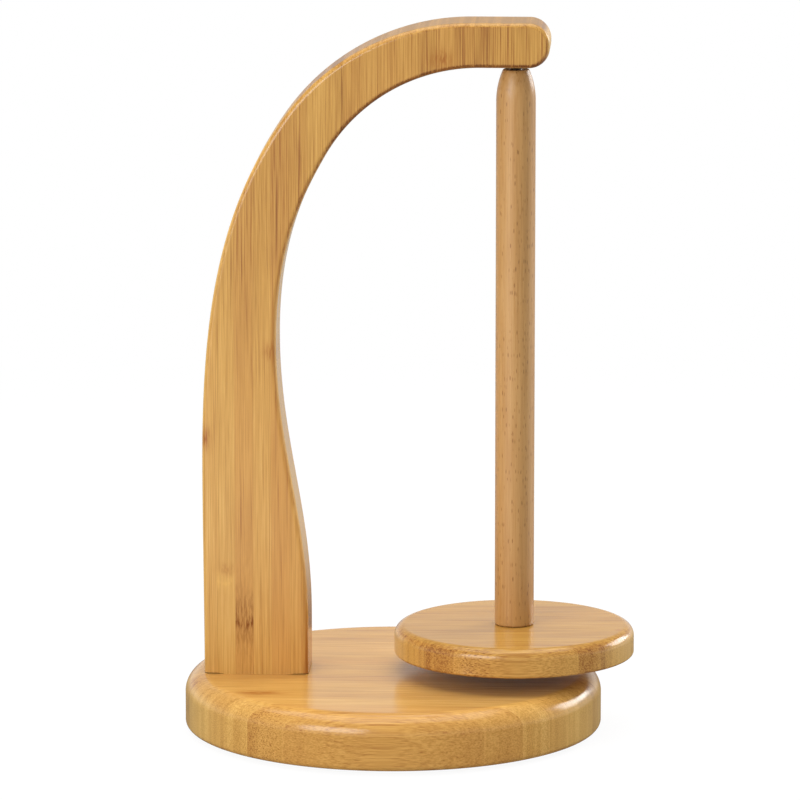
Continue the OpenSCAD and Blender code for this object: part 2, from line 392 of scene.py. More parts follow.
base_low, base_high = (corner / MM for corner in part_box("base"))
base_x = (base_low.x + base_high.x) / 2
base_r = (base_high.x - base_low.x) / 2
base_section = (
    [(0, base_low.z)]
    + arc(base_r - BASE_LOW_R, base_low.z + BASE_LOW_R, BASE_LOW_R, -90, 0, 10)
    + arc(base_r - BASE_TOP_R, base_high.z - BASE_TOP_R, BASE_TOP_R, 0, 90, 28)
    + [(0, base_high.z)]
)
base_disc = turned("base_disc", base_section, base_x, DISC_SIDES)
for bolt_x in BOLT_PLACES:
    head_top = base_low.z + HEAD_DEPTH
    drill(base_disc, bolt_x, base_low.z - OVERLAP, head_top, HEAD_R)
    drill(base_disc, bolt_x, head_top - OVERLAP, base_high.z + OVERLAP, SHANK_R)
smooth(base_disc)

# %% [markdown]
# ## The arm
#
# The arm is sawn from one plank: a wide foot, a waist, and a hook that ends in a round tip over
# the platter. Its outline could be traced as a long row of points, but a maker would draw it
# with a few arcs and bends, so it is drawn that way here: each bend has two ends and two pulls.

# %% Helpers for an outline
def spot(x, h):
    return Vector((x, h))


def bend(start, pull, pull_end, end, steps=40):
    """A smooth curve from start to end that leaves towards pull and arrives from pull_end."""
    points = []
    for i in range(steps + 1):
        t = i / steps
        u = 1 - t
        points.append(u**3 * start + 3 * u * u * t * pull + 3 * u * t * t * pull_end + t**3 * end)
    return points


def heading_at(angle):
    """The direction in which a round runs on at an angle in degrees."""
    turn = math.radians(angle)
    return spot(-math.sin(turn), math.cos(turn))


print("outline helpers ready")

# %% Draw the two rounds of the hook
OUTER_ROUND, OUTER_ANGLE = (23.25, 165, 86.5), 145  # middle x and height, radius; lower end
INNER_ROUND, INNER_ANGLE = (26.75, 167.5, 67), 150
HOOK_STEPS = 60

outer = arc(*OUTER_ROUND, OUTER_ANGLE, 90, HOOK_STEPS)
inner = arc(*INNER_ROUND, 90, INNER_ANGLE, HOOK_STEPS)
print("hook starts", round(outer[0].y), "mm above the base")

# %% Join the curves into one edge
FOOT_BACK, FOOT_FRONT, FOOT_H = -78.25, -38.25, 20
SWELL_X, SWELL_H, SWELL_PULL, OUTER_PULL = -78.75, 80, 0.45, 0.31
WAIST_X, WAIST_H, WAIST_PULL, INNER_PULL = -50.25, 129, 0.48, 0.28
FLARE_PULL = 0.38
ARM_H, TIP_X, TIP_H, TIP_R, TIP_STEPS = 251.5, 53.25, 17, 8, 20

outer_drop = outer[0].y - SWELL_H
inner_drop = inner[-1].y - WAIST_H
flare_pull = FLARE_PULL * (WAIST_H - FOOT_H)
back_low = bend(
    spot(FOOT_BACK, 0), spot(FOOT_BACK, SWELL_H / 3),
    spot(SWELL_X, SWELL_H * 2 / 3), spot(SWELL_X, SWELL_H), steps=24,
)
back_high = bend(
    spot(SWELL_X, SWELL_H), spot(SWELL_X, SWELL_H + SWELL_PULL * outer_drop),
    outer[0] + OUTER_PULL * outer_drop * heading_at(OUTER_ANGLE), outer[0],
)
tip_top = arc(TIP_X - TIP_R, ARM_H - TIP_R, TIP_R, 90, 0, TIP_STEPS)
tip_low = arc(TIP_X - TIP_R, ARM_H - TIP_H + TIP_R, TIP_R, 0, -90, TIP_STEPS)
waist = bend(
    inner[-1], inner[-1] + INNER_PULL * inner_drop * heading_at(INNER_ANGLE),
    spot(WAIST_X, WAIST_H + WAIST_PULL * inner_drop), spot(WAIST_X, WAIST_H),
)
flare = bend(
    spot(WAIST_X, WAIST_H), spot(WAIST_X, WAIST_H - flare_pull),
    spot(FOOT_FRONT, FOOT_H + flare_pull), spot(FOOT_FRONT, FOOT_H),
)
arm_edge = back_low + back_high[1:] + outer[1:] + tip_top + tip_low + inner + waist[1:] + flare[1:]
arm_edge.append(spot(FOOT_FRONT, 0))
print("arm edge has", len(arm_edge), "points")

# %% [markdown]
# The long edges front and back are only softened by 2 mm. To get that rounding all along the
# bends, the outline is moved in at right angles to itself, a little for each step of the
# rounding, and the copies are joined into a skin. Under the foot's two ends the sander took a
# breath more away, which leaves the thin dark line that is seen where arm and base meet.

# %% Move the outline in
SANDED, SANDED_RUN, SANDED_POWER = 0.38, 7.5, 4  # depth, length, how late it lifts off
SOLE_STEPS = 24


def sole():
    """Points under the foot, from front to back, lifted where the ends are sanded."""
    foot = FOOT_FRONT - FOOT_BACK
    for i in range(1, SOLE_STEPS):
        run = foot * i / SOLE_STEPS
        near_end = min(run, foot - run)
        lift = SANDED * max(0.0, 1 - (near_end / SANDED_RUN) ** SANDED_POWER)
        yield spot(FOOT_FRONT - run, lift)


def moved_in(distance):
    """The arm's edge, moved in at right angles to itself; its two ends stay on the base."""
    points = [arm_edge[0] + spot(distance, SANDED)]
    for before, p, after in zip(arm_edge, arm_edge[1:], arm_edge[2:]):
        way = (after - before).normalized()
        points.append(p + distance * spot(way.y, -way.x))
    points.append(arm_edge[-1] + spot(-distance, SANDED))
    return points + list(sole())


print("arm outline has", len(moved_in(0)), "points")

# %% Skin the arm over its moved-in outlines
ARM_T, ARM_EDGE_R, EDGE_STEPS = 24, 2, 8

quarter = [math.pi / 2 * i / EDGE_STEPS for i in range(EDGE_STEPS + 1)]
front_half = [
    (-ARM_T / 2 + ARM_EDGE_R * (1 - math.cos(a)), ARM_EDGE_R * (1 - math.sin(a))) for a in quarter
]
depths = front_half + [(-y, distance) for y, distance in reversed(front_half)]
shape = bmesh.new()
loops = [
    [shape.verts.new((p.x * MM, y * MM, (base_high.z + p.y) * MM)) for p in moved_in(distance)]
    for y, distance in depths
]
for front, back in zip(loops, loops[1:]):
    for i in range(len(front)):
        j = (i + 1) % len(front)
        shape.faces.new((front[i], front[j], back[j], back[i]))
shape.faces.new(loops[0])
shape.faces.new(list(reversed(loops[-1])))
hook_arm = make_piece("hook_arm", shape)
print("arm skin has", len(loops), "loops")

# %% Drill the arm for its inserts and its magnet
INSERT_R, INSERT_DEPTH, SHANK_DEPTH = 5.05, 15, 19
MAGNET_R = 5.05

magnet_low, magnet_high = (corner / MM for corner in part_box("arm_magnet"))
spindle_x = (magnet_low.x + magnet_high.x) / 2
for bolt_x in BOLT_PLACES:
    insert_top = base_high.z + INSERT_DEPTH
    drill(hook_arm, bolt_x, base_high.z - OVERLAP, insert_top, INSERT_R)
    drill(hook_arm, bolt_x, insert_top - OVERLAP, base_high.z + SHANK_DEPTH, SHANK_R)
drill(hook_arm, spindle_x, magnet_low.z - OVERLAP, magnet_high.z, MAGNET_R)
smooth(hook_arm)

# %% [markdown]
# ## The rod
#
# A beech dowel with a tenon at its foot and a nose that tapers in a gentle arc. The nose has a
# blind bore for the magnet and the ball, and the foot a pilot hole for the platter's screw.
# Because all of that lies on one axis, a single section holds the outside and both bores.

# %% Draw the rod's nose
ROD_R = 7.5
NOSE_R, NOSE_L, NOSE_STEPS = 5, 12, 16
RIM_OUT, RIM_DROP, RIM_IN = 0.05, 0.25, 0.15  # the broken edge at the end of the nose

rod_low, rod_high = (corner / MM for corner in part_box("spindle_rod"))
taper = ROD_R - NOSE_R
nose_arc_r = (NOSE_L**2 + taper**2) / (2 * taper)
nose = [
    (ROD_R - nose_arc_r + math.sqrt(nose_arc_r**2 - h * h), rod_high.z - NOSE_L + h)
    for h in (NOSE_L * i / NOSE_STEPS for i in range(NOSE_STEPS))
]
nose += [(NOSE_R + RIM_OUT, rod_high.z - RIM_DROP), (NOSE_R - RIM_IN, rod_high.z)]
print("nose is an arc of", round(nose_arc_r, 1), "mm")

# %% Turn the rod
ROD_SIDES = 128
FOOT_R, TENON_R = 0.9, 5
BORE_R, BORE_BREAK = 2.6, 0.2
PILOT_R, PILOT_TOP = 2.05, 30.5

platter_low, platter_high = (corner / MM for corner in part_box("platter"))
nose_magnet_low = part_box("rod_magnet")[0] / MM
shoulder = platter_high.z
pilot_end = platter_low.z + PILOT_TOP
rod_section = (
    [(0, pilot_end), (PILOT_R, pilot_end), (PILOT_R, rod_low.z), (TENON_R, rod_low.z)]
    + [(TENON_R, shoulder), (ROD_R - FOOT_R, shoulder)]
    + arc(ROD_R - FOOT_R, shoulder + FOOT_R, FOOT_R, -90, 0, 8)[1:]
    + nose
    + [(BORE_R + BORE_BREAK, rod_high.z), (BORE_R, rod_high.z - BORE_BREAK)]
    + [(BORE_R, nose_magnet_low.z), (0, nose_magnet_low.z)]
)
beech_rod = turned("beech_rod", rod_section, spindle_x, ROD_SIDES)
smooth(beech_rod)

# %% [markdown]
# ## The platter
#
# A thinner disc of the same bamboo, with a soft upper edge and a barely broken lower one. The
# rod's tenon sits in a shallow hole in the middle of its top, and a countersunk screw comes
# from below. The section goes round the hole, so it is a closed loop and not one that ends on
# the axis.

# %% Turn the platter
PLATTER_TOP_R, PLATTER_LOW_R = 4, 1
SCREW_HOLE_R, SINK_R = 2.3, 4.05
TENON_GAP = 0.05

platter_r = (platter_high.x - platter_low.x) / 2
tenon_hole_r = TENON_R + TENON_GAP
platter_section = (
    [(SCREW_HOLE_R, rod_low.z), (SCREW_HOLE_R, platter_low.z + SINK_R - SCREW_HOLE_R)]
    + [(SINK_R, platter_low.z)]
    + arc(platter_r - PLATTER_LOW_R, platter_low.z + PLATTER_LOW_R, PLATTER_LOW_R, -90, 0, 8)
    + arc(platter_r - PLATTER_TOP_R, platter_high.z - PLATTER_TOP_R, PLATTER_TOP_R, 0, 90, 20)
    + [(tenon_hole_r, platter_high.z), (tenon_hole_r, rod_low.z)]
)
yarn_platter = turned("yarn_platter", platter_section, spindle_x, DISC_SIDES, closed=True)
smooth(yarn_platter)

# %% [markdown]
# ## Bamboo
#
# Bamboo boards are glued from strips. Along the grain a strip shows fine parallel fibres, on
# its end the same fibres are dots, and here and there sits the darker knuckle where the cane
# had a joint. A flat picture wrapped round the discs would smear at the rim, so the wood is
# solid: its colour depends on the point in space, and grain, strips and fibre ends agree on
# every face.

# %% Colours as they are seen on screen
def screen(red, green, blue):
    """A colour given as on screen, 0 to 255, turned into the linear one that shaders use."""
    def linear(value):
        value /= 255
        return value / 12.92 if value <= 0.04045 else ((value + 0.055) / 1.055) ** 2.4
    return (linear(red), linear(green), linear(blue), 1)


def mixed(tree, share, one, other):
    """One colour turning into another."""
    return add_node(tree, "ShaderNodeMix", {0: share, 6: one, 7: other}, data_type="RGBA").outputs[2]


def new_finish(name):
    """An empty finish: its node tree and its main shader."""
    finish = bpy.data.materials.new(name)
    finish.use_nodes = True
    return finish, finish.node_tree, finish.node_tree.nodes["Principled BSDF"]


print("honey", [round(c, 3) for c in screen(208, 158, 91)])

# %% [markdown]
# First come the directions inside the board. The first way runs with the fibres, the second
# counts the strips, and the third is what is left. They are in millimetres, so every size below
# can be measured with a ruler on a real board. A finish also has to know which way a face
# looks, because the same wood is paler or darker on its ends and sides.

# %% Helpers for the board's directions
X, Y, Z = 0, 1, 2


def board_ways(tree, axes, about=None, turn=0.0):
    """Millimetres along the fibres, across the strips and through the board, which may be turned."""
    place = add_node(tree, "ShaderNodeTexCoord").outputs["Object"]
    if about:
        sockets = {"Vector": place, "Center": about, "Angle": -turn}
        place = add_node(tree, "ShaderNodeVectorRotate", sockets, rotation_type="Z_AXIS").outputs[0]
    xyz = add_node(tree, "ShaderNodeSeparateXYZ", {0: place}).outputs
    return [times(tree, xyz[axis], 1 / MM) for axis in axes]


def face_ways(tree):
    """How far a face looks along x, y and z, each from -1 to 1."""
    facing = add_node(tree, "ShaderNodeTexCoord").outputs["Normal"]
    return add_node(tree, "ShaderNodeSeparateXYZ", {0: facing}).outputs


def by_face(tree, facing, axis, low, high, to_low=0.0, to_high=1.0):
    """A value that depends on how far a face looks along an axis, either way."""
    return remap(tree, calc(tree, "ABSOLUTE", facing[axis]), low, high, to_low, to_high)


print("axes", X, Y, Z)

# %% Helpers for fibres and spots
def stretched(tree, ways, sizes):
    """A place in the board, measured in sizes of its own along each way."""
    scaled = [calc(tree, "DIVIDE", way, size) for way, size in zip(ways, sizes)]
    return add_node(tree, "ShaderNodeCombineXYZ", dict(enumerate(scaled))).outputs[0]


def cloudy(tree, place, detail=2.0, rough=0.5):
    """Soft noise between 0 and 1 with spots about one unit large."""
    sockets = {"Vector": place, "Scale": 1.0, "Detail": detail, "Roughness": rough}
    return add_node(tree, "ShaderNodeTexNoise", sockets).outputs[0]


def cells(tree, place):
    """Distance to the nearest seed, and a random number for each seed."""
    found = add_node(tree, "ShaderNodeTexVoronoi", {"Vector": place, "Scale": 1.0}).outputs
    return found["Distance"], found["Color"]


print("fibre helpers ready")

# %% [markdown]
# No board is without marks. A knuckle is the stain of a cane's joint: a veined core, tails that
# run out of it along the grain, and a thin bowed ridge across. A smear is a plain patch that the
# fibres tear into streaks; the same torn patch also lays painted shade at the arm's foot.
# Painting them by hand would fix them to one face. Given by their place and half sizes in the
# solid board, they go right through it.

# %% Helpers for marks on a board
class Mark(NamedTuple):
    """A mark's place along and across, half length, half width, and how strong it is."""

    along: float
    across: float
    long: float
    wide: float
    strength: float = 1.0


def from_mark(tree, ways, mark):
    """How far a point lies from a mark, along and across, counted in the mark's half sizes."""
    a = calc(tree, "DIVIDE", calc(tree, "SUBTRACT", ways[0], mark.along), mark.long)
    b = calc(tree, "DIVIDE", calc(tree, "SUBTRACT", ways[1], mark.across), mark.wide)
    return a, b


def bell(tree, value, steepness):
    """1 where a value is 0, and less on both sides of it."""
    return calc(tree, "EXPONENT", times(tree, times(tree, value, value), -steepness))


def patch(tree, ways, mark):
    """1 in the middle of a mark, fading out all round."""
    a, b = from_mark(tree, ways, mark)
    far = added(tree, times(tree, b, b), a, a)
    return calc(tree, "EXPONENT", times(tree, far, -1.0))


print("a mark has", ", ".join(Mark._fields))

# %% Knuckles and smears
VEIN_MM = (5.0, 0.75, 2.5)
CORE, TAIL, RIDGE = 1.0, 0.12, 40.0  # steepness of the three parts of a knuckle
BOW = 0.3  # how far the ridge bows, in half lengths


def knuckle(tree, ways, mark):
    """How dark the stain of a cane's joint is."""
    a, b = from_mark(tree, ways, mark)
    b = calc(tree, "ABSOLUTE", b)
    bowed = calc(tree, "ADD", a, added(tree, BOW, times(tree, b, b), -BOW))
    vein = remap(tree, cloudy(tree, stretched(tree, ways, VEIN_MM), 4.0, 0.65), 0.40, 0.62)
    edge = remap(tree, b, 0.6, 0.95, 0.2, 0.5)
    dark = times(tree, bell(tree, a, CORE), added(tree, edge, vein, 0.55))
    dark = added(tree, dark, times(tree, bell(tree, a, TAIL), vein), 0.28)
    dark = added(tree, dark, bell(tree, bowed, RIDGE), added(tree, 0.15, vein, 0.35))
    inside_strip = remap(tree, b, 1.03, 0.88)
    return times(tree, dark, inside_strip)


def smear_and_shade(tree, ways, mark):
    """A patch that is torn into streaks along the grain."""
    tear = (mark.long * 1.2, mark.wide * 0.3, mark.wide * 0.3)
    torn = remap(tree, cloudy(tree, stretched(tree, ways, tear), 3.0), 0.42, 0.58)
    return times(tree, patch(tree, ways, mark), added(tree, 0.45, torn, 0.55))


print("knuckles have veins", VEIN_MM[1], "mm wide")

# %% [markdown]
# Arm, base and platter are three boards of one kind. What tells them apart is written down once
# for each: how the grain runs, how wide the strips are, and which marks they bear. Three copies
# of the finish would do as well, but they would drift apart with every change.

# %% What has to be said about a board
@dataclass
class Board:
    """One bamboo board. Lengths are in millimetres, and a tone runs from 0, dark, to 1, pale."""

    name: str
    axes: tuple  # the axes along the fibres, across the strips and through the board
    strip: float  # width of a strip
    first: float  # where one of the strips starts
    seed: int  # draws each strip's luck
    contrast: float  # how much strips and streaks differ in tone
    darker: tuple  # what is taken off the tone on level faces, and on upright ones
    orange: float = 0.42  # how orange the warmest strips are
    yellow_top: float = 0.0  # how yellow the top is
    knuckles: tuple = ()
    pale_knuckles: tuple = ()
    smears_and_shade: tuple = ()
    dotted: Mark = None  # on a disc, where the rim shows the ends of the fibres most
    about: tuple = None  # where a board is turned, the point in metres that it turns about
    softened: float = None  # half thickness of a board whose long edges are softened
    # painted shade: the arm is darkened along the grain towards the hook
    fade: tuple = None  # start and end of a darkening along the grain, and its amount
    # painted light: the arm's narrow sides are paler from the foot up
    side_painted_light: tuple = None  # start and end, along the grain, of where the sides grow pale


print("a board has", len(fields(Board)), "entries")

# %% [markdown]
# Each strip gets its own luck: a random tone, a random warmth and a random shift along the
# grain, so that no fibre runs on into the next strip. The glue between two strips is a thin
# dark line on the broad faces and a pale one round the rim of a disc.

# %% Strips and their luck
SLIDE_MM = 977.0
GLUE_MM = 0.3


def centred(tree, value):
    """A value from 0 to 1, moved so that its middle is 0."""
    return calc(tree, "SUBTRACT", value, 0.5)


def strips(tree, board, ways):
    """The ways inside each strip's own cane, its warmth and shade, and the glue beside it."""
    along, across, deep = ways
    row = calc(tree, "DIVIDE", calc(tree, "SUBTRACT", across, board.first), board.strip)
    number = calc(tree, "ADD", calc(tree, "FLOOR", row), board.seed)
    luck = add_node(tree, "ShaderNodeTexWhiteNoise", {"W": number}, noise_dimensions="1D").outputs
    slide, warmth, shade = add_node(tree, "ShaderNodeSeparateColor", {0: luck["Color"]}).outputs
    own = (added(tree, along, slide, SLIDE_MM), across, deep)
    from_middle = calc(tree, "ABSOLUTE", centred(tree, calc(tree, "FRACT", row)))
    glue = remap(tree, from_middle, 0.5 - GLUE_MM / board.strip, 0.5)
    return own, warmth, shade, glue


print("glue lines are", 2 * GLUE_MM, "mm wide")

# %% [markdown]
# The tone of a point is a sum: the strip's own luck, a slow drift, broad streaks, the thin dark
# vessels and the finest fibres. On a cut end the vessels show as dots, strongest in one place on
# each disc, and thin slats stand out as upright bands. The same fibres raise the varnish by a
# hair, more on a cut end, so the reflections break up as on the real board.

# %% Sizes and weights of what makes the tone
DRIFT_MM, DRIFT_TONE = (70.0, 9.0, 14.0), 0.26
STREAK_MM, STREAK_TONE = (55.0, 1.7, 2.0), 0.12
VESSEL_MM, VESSEL_TONE = (48.0, 0.8, 0.9), -0.22
FIBRE_MM, FIBRE_TONE = (32.0, 0.42, 0.5), 0.34
BUNDLE_MM, BUNDLE_TONE, DOTTED_TONE = (11.0, 0.48, 0.48), -0.12, -0.34
SLAT_MM, SLAT_TONE = (300.0, 2.6, 80.0), 0.22
PLAIN_TONE, CUT_TONE = 0.66, -0.06
STRIP_TONE, RIM_STRIP_TONE, ARM_END_STRIP_TONE = 0.22, 0.24, -0.2
GLUE_TONE = (-0.10, 0.13)  # on the broad faces, and on the rim
LINES_LOST = -0.75  # on a cut end streaks and vessels all but go
RELIEF, RIM_RELIEF = 0.008, 0.05
CUT_END = (0.2, 0.75)  # how far a face looks along the grain where the end starts and is full
print("fibres are", FIBRE_MM[1], "mm wide")


# %% Tone of a bamboo board
def board_tone(tree, board, ways, facing):
    """The tone, with the slow drift, the varnish's relief and the strip's warmth."""
    own, warmth, shade, glue = strips(tree, board, ways)
    drift = cloudy(tree, stretched(tree, own, DRIFT_MM), 3.0)
    streak = remap(tree, cloudy(tree, stretched(tree, own, STREAK_MM), 3.0), 0.3, 0.7)
    vessel = remap(tree, cloudy(tree, stretched(tree, own, VESSEL_MM), 2.0, 0.6), 0.52, 0.70)
    fibre = remap(tree, cloudy(tree, stretched(tree, own, FIBRE_MM), 3.0, 0.6), 0.34, 0.66)
    bundle = remap(tree, cells(tree, stretched(tree, own, BUNDLE_MM))[0], 0.5, 0.2)
    slat = remap(tree, cloudy(tree, stretched(tree, own, SLAT_MM), 2.0), 0.36, 0.64)

    grain = board.axes[0]
    cut_end = by_face(tree, facing, grain, *CUT_END)
    dots = times(tree, cut_end, BUNDLE_TONE)
    if board.dotted:
        dots = added(tree, dots, patch(tree, ways, board.dotted), DOTTED_TONE)
    end_tone = RIM_STRIP_TONE * board.contrast if board.dotted else ARM_END_STRIP_TONE
    strip_tone = added(tree, STRIP_TONE * board.contrast, cut_end, end_tone)
    lines = times(tree, streak, STREAK_TONE * board.contrast)
    lines = added(tree, lines, vessel, VESSEL_TONE * board.contrast)
    bands = times(tree, centred(tree, slat), cut_end)

    tone = added(tree, PLAIN_TONE, centred(tree, drift), DRIFT_TONE * board.contrast)
    tone = added(tree, tone, centred(tree, shade), strip_tone)
    tone = added(tree, tone, lines, added(tree, 1.0, cut_end, LINES_LOST))
    tone = added(tree, tone, centred(tree, fibre), FIBRE_TONE)
    tone = added(tree, tone, bundle, dots)
    tone = added(tree, tone, cut_end, CUT_TONE)
    tone = added(tree, tone, bands, SLAT_TONE)
    tone = added(tree, tone, glue, by_face(tree, facing, grain, 0.1, 0.4, *GLUE_TONE))
    rough_end = RIM_RELIEF if board.dotted else 0.0
    relief = times(tree, fibre, added(tree, RELIEF, cut_end, rough_end))
    return tone, drift, relief, warmth


print("bamboo tone ready")

# %% [markdown]
# Tone differs from face to face, and some of it is painted light and shade. The arm is painted
# darker towards the hook, as shade for the light that falls off higher up. Its softened edges
# carry a painted highlight where they look up; they are a little darker all along and darker
# still below, with painted shade. Its narrow sides are painted lighter from the foot up, as
# light from the side. The outermost rim of a disc is paler as well.

# %% Tone by the way a face looks
RIM_END = (0.65, 0.98)  # how far a face looks along the grain, at the far ends of a disc
RIM_END_TONE = 0.16
# painted light on the arm's narrow sides
SIDE_PAINTED_LIGHT = 0.24
EDGE_START, EDGE_END = (2.2, 1.2), (0.02, 0.2)  # millimetres below the face: from nothing to full
# painted shade on edges that look down, over a slight darkening all along, and a painted highlight on
# edges that look up
EDGE_DARK_AND_SHADE, EDGE_PAINTED_HIGHLIGHT = (-0.14, -0.06), 0.44


def softened_edge(tree, half, deep):
    """1 on the rounding of a board's long edges, 0 on its faces."""
    depth = calc(tree, "ABSOLUTE", deep)
    starts = remap(tree, depth, *(half - below for below in EDGE_START))
    ends = remap(tree, depth, *(half - below for below in EDGE_END))
    return times(tree, starts, ends)


def narrow_side(tree, board, ways, facing):
    """1 on a board's narrow sides, from where their painted light starts."""
    side = by_face(tree, facing, board.axes[1], 0.6, 0.95)
    return times(tree, side, remap(tree, ways[0], *board.side_painted_light))


def face_tone(tree, board, ways, facing, tone):
    """The tone, changed by the way a face looks and by its place along the board."""
    tone = calc(tree, "SUBTRACT", tone, by_face(tree, facing, Z, 0.5, 0.0, *board.darker))
    # Painted shade: darker along the grain towards the hook, for the light that falls off higher up.
    if board.fade:
        start, end, amount = board.fade
        tone = calc(tree, "SUBTRACT", tone, remap(tree, ways[0], start, end, 0.0, amount))
    if board.softened:
        # The softened edges: a painted highlight where they look up, painted shade where they look
        # down.
        edge_dark_and_shade = remap(tree, facing[Z], -0.5, 0.0, *EDGE_DARK_AND_SHADE)
        edge_dark_shade_and_highlight = calc(tree, "ADD", edge_dark_and_shade, remap(tree, facing[Z], 0.0, 0.45, 0.0, EDGE_PAINTED_HIGHLIGHT))
        tone = added(tree, tone, softened_edge(tree, board.softened, ways[2]), edge_dark_shade_and_highlight)
    if board.dotted:
        tone = added(tree, tone, by_face(tree, facing, board.axes[0], *RIM_END), RIM_END_TONE)
    # Painted light: the narrow sides are paler.
    if board.side_painted_light:
        tone = added(tree, tone, narrow_side(tree, board, ways, facing), SIDE_PAINTED_LIGHT)
    return tone


print("face tone ready")

# %% [markdown]
# One colour ramp turns the tone into colour, from brown to pale honey. Some strips are warmer
# than others, ends lean to their own tint, the arm's narrow sides take a pale tint of painted
# light, and the marks are stained over all that, one of them as painted shade. A separate
# colour for each strip would be simpler, but the fibres would then look printed on.

# %% Colour of a bamboo board
HONEY = [
    (0.0, screen(112, 66, 30)), (0.22, screen(162, 109, 52)), (0.42, screen(186, 137, 67)),
    (0.62, screen(202, 153, 78)), (0.82, screen(215, 167, 90)), (1.0, screen(226, 182, 106)),
]
WARM_STRIP = screen(204, 141, 74)
YELLOW_TOP = screen(184, 152, 50)
DISC_END, ARM_END, ARM_SIDE_PAINTED_LIGHT = screen(218, 184, 110), screen(186, 150, 84), screen(228, 190, 108)
# The smear colour is also used for painted shade at the arm's foot.
KNUCKLE, PALE_KNUCKLE, SMEAR_AND_SHADE = screen(132, 74, 14), screen(232, 184, 98), screen(152, 82, 20)
TINT_SHARE = 0.4  # of the tints of ends and sides
WARM_LEFT = 0.4  # share of the warmth that is left where the arm has darkened


def board_colour(tree, board, ways, facing, tone, warmth):
    """Colour from a tone: warm strips, tinted ends, painted light on sides, marks and painted shade.
    """
    colour = ramp(tree, tone, HONEY)
    warm = times(tree, warmth, board.orange)
    # The painted shade towards the hook also takes away warmth.
    if board.fade:
        warm = times(tree, warm, remap(tree, ways[0], *board.fade[:2], 1.0, WARM_LEFT))
    colour = mixed(tree, warm, colour, WARM_STRIP)
    if board.yellow_top:
        top = remap(tree, facing[Z], 0.6, 0.95, 0.0, board.yellow_top)
        colour = mixed(tree, top, colour, YELLOW_TOP)
    ends = times(tree, by_face(tree, facing, board.axes[0], *RIM_END), TINT_SHARE)
    colour = mixed(tree, ends, colour, DISC_END if board.dotted else ARM_END)
    # Painted light: the narrow sides are tinted pale.
    if board.side_painted_light:
        sides = times(tree, narrow_side(tree, board, ways, facing), TINT_SHARE)
        colour = mixed(tree, sides, colour, ARM_SIDE_PAINTED_LIGHT)
    for marks, kind, mark_colour in (
        (board.knuckles, knuckle, KNUCKLE),
        (board.pale_knuckles, knuckle, PALE_KNUCKLE),
        (board.smears_and_shade, smear_and_shade, SMEAR_AND_SHADE),
    ):
        for mark in marks:
            share = times(tree, kind(tree, ways, mark), mark.strength)
            colour = mixed(tree, share, colour, mark_colour)
    return colour


print("honey has", len(HONEY), "steps")

# %% [markdown]
# The varnish is thin and silky. It is a little duller where the wood drinks more of it: on the
# ends of the discs' grain and on the narrow faces of the hook. A long, low wave under the fibres
# bends the reflections, because no sanded board is truly flat.

# %% Varnish, and the whole bamboo finish
WAVE_MM = (26.0, 16.0, 16.0)
DULL, DRIFT_DULL, END_DULL, HOOK_DULL = 0.14, 0.10, 0.06, 0.16
HOOK_REACH = (190.0, 245.0)  # millimetres above the table
VARNISH_IOR = 1.45


def varnish(tree, board, ways, facing, drift, relief, shader):
    """Gives a board its shine and its relief."""
    dull = added(tree, DULL, drift, DRIFT_DULL)
    if board.dotted:
        dull = added(tree, dull, by_face(tree, facing, board.axes[0], *RIM_END), END_DULL)
    else:
        narrow = by_face(tree, facing, board.axes[2], 0.8, 0.3, 0.0, HOOK_DULL)
        dull = added(tree, dull, narrow, remap(tree, ways[0], *HOOK_REACH))
    tree.links.new(dull, shader.inputs["Roughness"])
    height = calc(tree, "ADD", relief, cloudy(tree, stretched(tree, ways, WAVE_MM), 1.0))
    bump = add_node(tree, "ShaderNodeBump", {"Height": height, "Strength": 0.5, "Distance": 0.0002})
    tree.links.new(bump.outputs[0], shader.inputs["Normal"])
    shader.inputs["IOR"].default_value = VARNISH_IOR


def bamboo(board):
    """The finish of one bamboo board."""
    finish, tree, shader = new_finish(board.name)
    ways = board_ways(tree, board.axes, board.about, VIEW_TURN)
    facing = face_ways(tree)
    tone, drift, relief, warmth = board_tone(tree, board, ways, facing)
    tone = face_tone(tree, board, ways, facing, tone)
    colour = board_colour(tree, board, ways, facing, tone, warmth)
    tree.links.new(colour, shader.inputs["Base Color"])
    varnish(tree, board, ways, facing, drift, relief, shader)
    print(board.name, len(tree.nodes), "nodes")
    return finish


print("varnish bends light by", VARNISH_IOR)

# %% Bamboo for the arm
arm_bamboo = bamboo(Board(
    "bamboo_arm", axes=(Z, X, Y), strip=7.0, first=-73.2, seed=51412, contrast=1.0,
    darker=(0.3, 0.04),
    knuckles=(Mark(44.0, -62.7, 9.0, 3.6, 0.68),),
    pale_knuckles=(Mark(59.0, -70.0, 4.0, 3.3, 0.5),),
    smears_and_shade=(
        Mark(63.5, -69.6, 2.2, 3.2, 0.45),
        Mark(57.0, -69.7, 20.0, 3.3, 0.15),
        Mark(114.5, -77.2, 4.2, 1.8, 0.9),
        Mark(148.0, -52.6, 3.6, 2.2, 0.65),
        Mark(260.5, 12.5, 3.4, 4.0, 0.7),
        # Painted shade: a dark band at the inner end of the foot's front face.
        Mark(28.0, -38.9, 24.0, 1.9, 0.75),
    ),
    # Painted shade towards the hook, and painted light on the narrow sides.
    softened=ARM_T / 2, fade=(80.0, 235.0, 0.20), side_painted_light=(20.0, 90.0),
))

